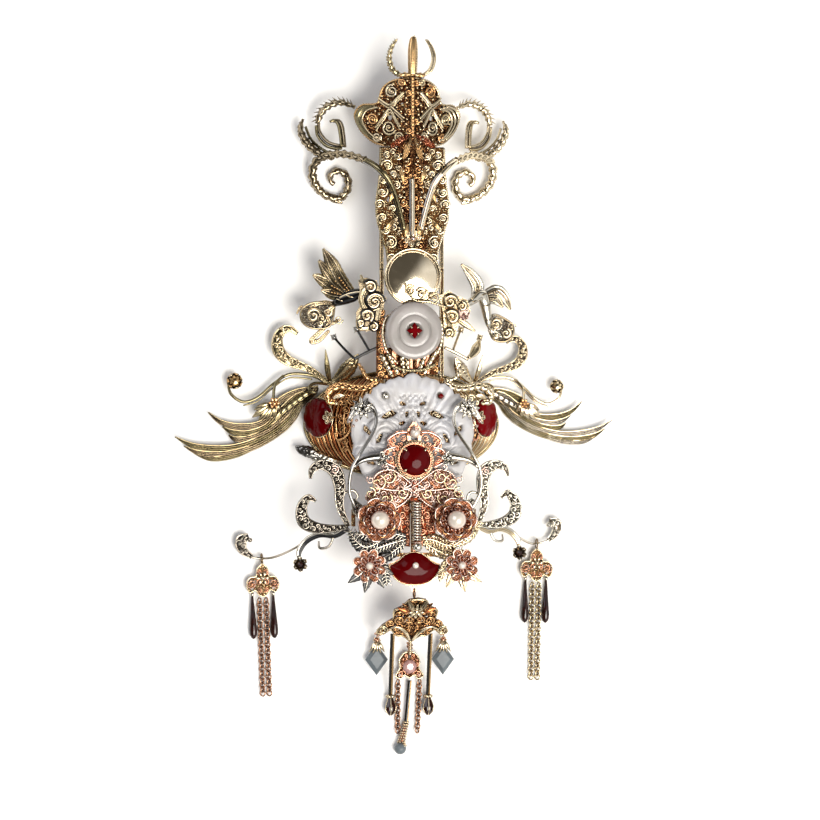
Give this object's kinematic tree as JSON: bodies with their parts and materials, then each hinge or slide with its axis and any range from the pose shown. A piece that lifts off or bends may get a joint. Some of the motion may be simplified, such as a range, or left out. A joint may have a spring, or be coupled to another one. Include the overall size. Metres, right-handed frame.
{
  "type": "hair crown",
  "caption": "Openwork gilt hair crown with a tall pierced back, stone discs, a carved stone plaque, feathered wings, branch sprays, pearls and chain pendants.",
  "frame": {"origin": "centre of the cage's open back, in the plane of its rim, where the hair bun goes in", "axes": "+Y along the crown from the pendants to the tall finial, +Z out of the cage towards the viewer, +X to the viewer's right"},
  "size_m": [0.1929, 0.3104, 0.0476],
  "materials": {
    "pale_gold": "polished pale gold plating",
    "olive_gold": "antique gold plating, darker in the grooves",
    "rose_gold": "copper-rose gold plating on filigree",
    "silver_gold": "pale silver-gold plating with engraved dark lines",
    "dark_metal": "polished gunmetal plating",
    "mirror_gold": "mirror-polished gold plating",
    "jade": "milky white carved stone, polished and slightly translucent",
    "red_stone": "deep red stone, glossy",
    "garnet": "dark brown-red cut stone, glossy",
    "pearl": "cream imitation pearl with a soft nacre coat",
    "blue_grey": "grey-blue stone, polished"
  },
  "bodies": {
    "root": {"frame": "olive_gold", "cage": "rose_gold", "head": "rose_gold", "finial": "pale_gold", "spine": "rose_gold", "spine_flower": "pale_gold", "branch_left": "pale_gold", "branch_right": "pale_gold", "mirror_disc": "mirror_gold", "ring_backplate": "rose_gold", "jade_ring": "jade", "ring_stone": "red_stone", "cloud_left": "pale_gold", "cloud_right": "pale_gold", "bird_left": "silver_gold", "bird_right": "silver_gold", "bracket_left": "dark_metal", "bracket_right": "dark_metal", "jade_plaque": "jade", "side_stone_left": "red_stone", "side_stone_right": "red_stone", "wing_left": "olive_gold", "wing_right": "pale_gold", "upper_spray_left": "olive_gold", "upper_spray_right": "pale_gold", "horn_left": "rose_gold", "horn_right": "pale_gold", "lower_spray_left": "silver_gold", "lower_spray_right": "silver_gold", "crane_left": "dark_metal", "crane_right": "dark_metal", "stone_setting": "rose_gold", "centre_stone": "red_stone", "top_pearl": "pearl", "butterfly": "rose_gold", "body_bar": "rose_gold", "pearl_flower_left": "rose_gold", "pearl_flower_right": "rose_gold", "pearl_left": "pearl", "pearl_right": "pearl", "leaf_left": "dark_metal", "leaf_right": "pale_gold", "small_flower_left": "rose_gold", "small_flower_right": "rose_gold", "crescent_setting": "rose_gold", "crescent_stone": "red_stone", "medallion": "rose_gold", "rhombus_left": "blue_grey", "rhombus_right": "blue_grey", "rod_drops": "garnet", "tassel_medallion": "rose_gold", "tassel_chains": "pale_gold", "tassel_tube": "pale_gold", "pendant_cluster_left": "pale_gold", "pendant_cluster_right": "pale_gold", "pendant_drops_left": "garnet", "pendant_drops_right": "garnet", "pendant_chains_left": "pale_gold", "pendant_chains_right": "pale_gold"}
  },
  "joints": []
}
